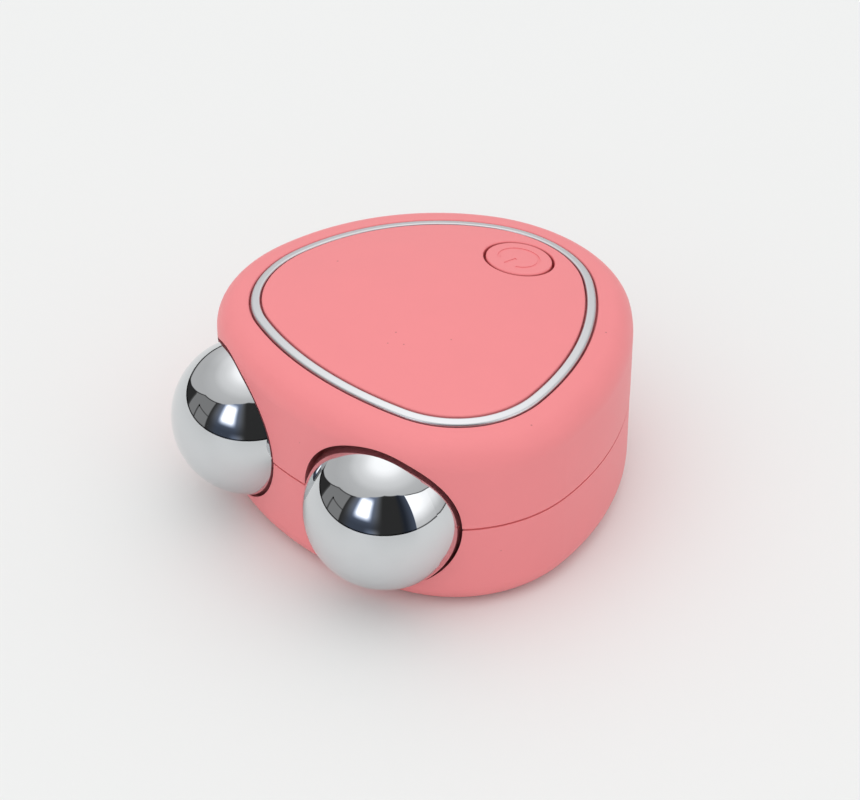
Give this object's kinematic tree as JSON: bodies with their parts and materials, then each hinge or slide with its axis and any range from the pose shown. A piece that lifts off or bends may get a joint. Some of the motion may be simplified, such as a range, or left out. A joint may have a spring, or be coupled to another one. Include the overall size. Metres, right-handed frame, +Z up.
{
  "type": "facial massager",
  "caption": "Palm-sized facial massager: rounded-triangle case with a domed top cover, silver trim ring and push button, and chrome roller balls on splayed axles at the front.",
  "frame": {"origin": "on the ground under the middle of the whole object's box, on the base pad's underside", "axes": "+X to the right ball as seen from the button, +Y from the balls to the rear end with the button and charging socket, +Z up out of the domed top"},
  "size_m": [0.0646, 0.069, 0.0336],
  "materials": {
    "case_pink": "satin",
    "button_pink": "satin",
    "trim_silver": "satin",
    "ball_chrome": "polished",
    "steel": "satin",
    "bush_brass": "satin",
    "nylon_white": "matte",
    "carrier_black": "matte",
    "pad_rubber": "matte",
    "foam_grey": "matte",
    "battery_foil": "satin",
    "board_green": "gloss",
    "chip_black": "matte",
    "lead_red": "satin"
  },
  "bodies": {
    "case": {"upper_shell": "case_pink", "lower_shell": "case_pink", "top_cover": "case_pink", "trim_ring": "trim_silver", "base_pad": "pad_rubber", "tact_switch": "steel", "bush_left": "bush_brass", "bush_right": "bush_brass", "contact_leaf_left": "bush_brass", "contact_leaf_right": "bush_brass", "ball_carrier": "carrier_black", "case_screws": "steel", "carrier_screws": "steel", "board_screws": "steel", "main_board": "board_green", "microcontroller": "chip_black", "boost_inductor": "chip_black", "small_components": "nylon_white", "charging_socket": "steel", "battery_plug": "nylon_white", "battery_leads": "lead_red", "battery_cell": "battery_foil", "battery_pad": "foam_grey", "motor_sleeve": "foam_grey", "motor_can": "steel", "motor_leads": "lead_red"},
    "left_roller": {"ball_left": "ball_chrome", "axle_left": "steel", "thrust_washer_left": "nylon_white", "retaining_clip_left": "steel"},
    "right_roller": {"ball_right": "ball_chrome", "axle_right": "steel", "thrust_washer_right": "nylon_white", "retaining_clip_right": "steel"},
    "button": {"power_button": "button_pink", "switch_plunger": "chip_black"},
    "motor_rotor": {"motor_shaft": "steel", "eccentric_weight": "steel"}
  },
  "joints": [
    {"name": "left_ball_spin", "type": "hinge", "parent": "case", "child": "left_roller", "pos_m": [-0.01515, -0.02233, 0.015], "axis": [-0.5, -0.866, 0], "continuous": true},
    {"name": "right_ball_spin", "type": "hinge", "parent": "case", "child": "right_roller", "pos_m": [0.01515, -0.02233, 0.015], "axis": [0.5, -0.866, 0], "continuous": true},
    {"name": "button_press", "type": "slide", "parent": "case", "child": "button", "axis": [0, 0, -1], "range_m": [0, 0.00035], "stiffness_N_per_m": 2000},
    {"name": "motor_spin", "type": "hinge", "parent": "case", "child": "motor_rotor", "pos_m": [0, 0.02063, 0.01225], "axis": [1, 0, 0], "continuous": true}
  ]
}
